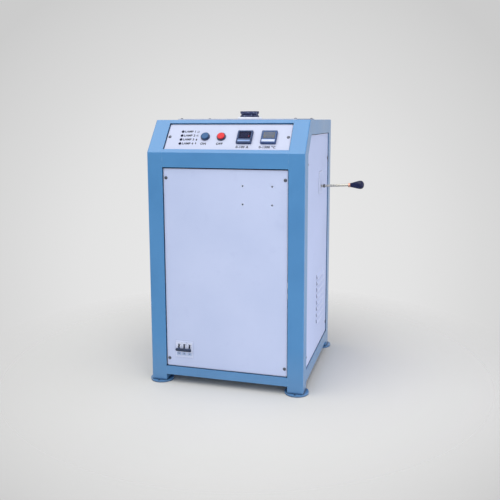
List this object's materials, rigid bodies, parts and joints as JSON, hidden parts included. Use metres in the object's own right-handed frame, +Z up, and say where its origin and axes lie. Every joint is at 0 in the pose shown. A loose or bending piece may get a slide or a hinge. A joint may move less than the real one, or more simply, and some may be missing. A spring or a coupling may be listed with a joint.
{
  "type": "electric gold melting furnace",
  "caption": "Floor-standing melting furnace: square-tube cabinet, raked console with meters and push buttons, breaker, louvred sides, lidded crucible and a side lever that lifts it.",
  "frame": {"origin": "centre of the footprint on the floor", "axes": "+Z up, -Y out of the front panel, +X towards the lever's side"},
  "size_m": [0.6557, 0.542, 0.8724],
  "materials": {
    "frame_blue": "textured blue powder coat",
    "inner_frame": "blue powder coat, inside",
    "panel_pale": "pale gloss powder coat",
    "slot_plate": "pale gloss powder coat",
    "top_board": "dark heat-proof board",
    "tray_zinc": "zinc-plated sheet",
    "screw_dark": "blackened pan-head screws",
    "meter_case": "black panel meter",
    "meter_window": "clear window",
    "key_grey": "pale key",
    "collar_dark": "dark button collar",
    "start_blue": "blue cap",
    "stop_red": "red cap",
    "breaker_white": "light moulded case",
    "toggle_black": "black toggles and tie bar",
    "collar_ceramic": "white fired ceramic",
    "graphite": "machined graphite",
    "copper": "bare copper tube",
    "steel_bright": "turned steel",
    "knob_dark": "dark phenolic knob",
    "bronze": "bronze bush and brass tails",
    "core_steel": "varnished core and winding",
    "capacitor_case": "moulded capacitor cases",
    "heat_sink": "extruded heat sink and modules",
    "circuit_green": "circuit board",
    "fan_black": "black moulded fan",
    "gland_black": "black cable gland",
    "hose_blue": "blue water hose"
  },
  "bodies": {
    "base": {"front_post_left": "frame_blue", "front_post_right": "frame_blue", "rear_posts": "frame_blue", "bottom_rails": "frame_blue", "top_rails": "frame_blue", "front_cross_rails": "frame_blue", "feet": "frame_blue", "mid_rails": "inner_frame", "panel_tabs": "inner_frame", "lever_bracket": "inner_frame", "guide_beam": "inner_frame", "front_panel": "panel_pale", "control_panel": "panel_pale", "left_panel": "panel_pale", "right_panel": "panel_pale", "rear_panel": "panel_pale", "lever_slot_plate": "slot_plate", "top_board": "top_board", "coil_deck": "top_board", "bottom_tray": "tray_zinc", "din_rail": "tray_zinc", "panel_screws": "screw_dark", "ammeter": "meter_case", "temperature_controller": "meter_case", "meter_windows": "meter_window", "button_collars": "collar_dark", "indicator_lamps": "collar_dark", "breaker_body": "breaker_white", "contactor": "breaker_white", "crucible_collar": "collar_ceramic", "coil_sleeve": "collar_ceramic", "induction_coil": "copper", "pivot_pin": "steel_bright", "guide_bush": "bronze", "water_fittings": "bronze", "output_transformer": "core_steel", "capacitor_bank": "capacitor_case", "inverter_unit": "heat_sink", "control_board": "circuit_green", "fan_frame": "fan_black", "cable_gland": "gland_black", "cooling_pipes": "hose_blue"},
    "lever": {"lever_arm": "steel_bright", "lever_rod": "steel_bright", "lever_nut": "steel_bright", "lever_knob": "knob_dark", "cross_pin": "steel_bright"},
    "lift": {"lift_yoke": "steel_bright", "lift_rod": "steel_bright", "pedestal": "collar_ceramic"},
    "crucible": {"crucible": "graphite"},
    "lid": {"crucible_lid": "graphite"},
    "start_button": {"start_button": "start_blue"},
    "stop_button": {"stop_button": "stop_red"},
    "key_1": {"controller_key_1": "key_grey"},
    "key_2": {"controller_key_2": "key_grey"},
    "key_3": {"controller_key_3": "key_grey"},
    "key_4": {"controller_key_4": "key_grey"},
    "breaker_toggle": {"breaker_toggle": "toggle_black"},
    "fan_rotor": {"fan_rotor": "fan_black"}
  },
  "joints": [
    {"name": "lever_swing", "type": "hinge", "parent": "base", "child": "lever", "pos_m": [0.226, 0.048, 0.6209], "axis": [0, 1, 0], "range_deg": [0, 26]},
    {"name": "crucible_lift", "type": "slide", "parent": "base", "child": "lift", "axis": [0, 0, 1], "range_m": [0, 0.1031]},
    {"name": "crucible_lift_out", "type": "slide", "parent": "lift", "child": "crucible", "axis": [0, 0, 1], "range_m": [0, 0.12]},
    {"name": "lid_lift_off", "type": "slide", "parent": "crucible", "child": "lid", "axis": [0, 0, 1], "range_m": [0, 0.08]},
    {"name": "start_press", "type": "slide", "parent": "base", "child": "start_button", "axis": [0, 0.7701, -0.6379], "range_m": [0, 0.0035], "stiffness_N_per_m": 500},
    {"name": "stop_press", "type": "slide", "parent": "base", "child": "stop_button", "axis": [0, 0.7701, -0.6379], "range_m": [0, 0.0035], "stiffness_N_per_m": 500},
    {"name": "key_1_press", "type": "slide", "parent": "base", "child": "key_1", "axis": [0, 0.7701, -0.6379], "range_m": [0, 0.0006], "stiffness_N_per_m": 400},
    {"name": "key_2_press", "type": "slide", "parent": "base", "child": "key_2", "axis": [0, 0.7701, -0.6379], "range_m": [0, 0.0006], "stiffness_N_per_m": 400},
    {"name": "key_3_press", "type": "slide", "parent": "base", "child": "key_3", "axis": [0, 0.7701, -0.6379], "range_m": [0, 0.0006], "stiffness_N_per_m": 400},
    {"name": "key_4_press", "type": "slide", "parent": "base", "child": "key_4", "axis": [0, 0.7701, -0.6379], "range_m": [0, 0.0006], "stiffness_N_per_m": 400},
    {"name": "breaker_switch", "type": "hinge", "parent": "base", "child": "breaker_toggle", "pos_m": [-0.139, -0.242, 0.119], "axis": [-1, 0, 0], "range_deg": [0, 60]},
    {"name": "fan_spin", "type": "hinge", "parent": "base", "child": "fan_rotor", "pos_m": [0.06, 0.2245, 0.2], "axis": [0, 1, 0], "continuous": true}
  ],
  "couplings": [
    {"joint": "crucible_lift", "follows": "lever_swing", "m_per_rad": 0.22698}
  ]
}
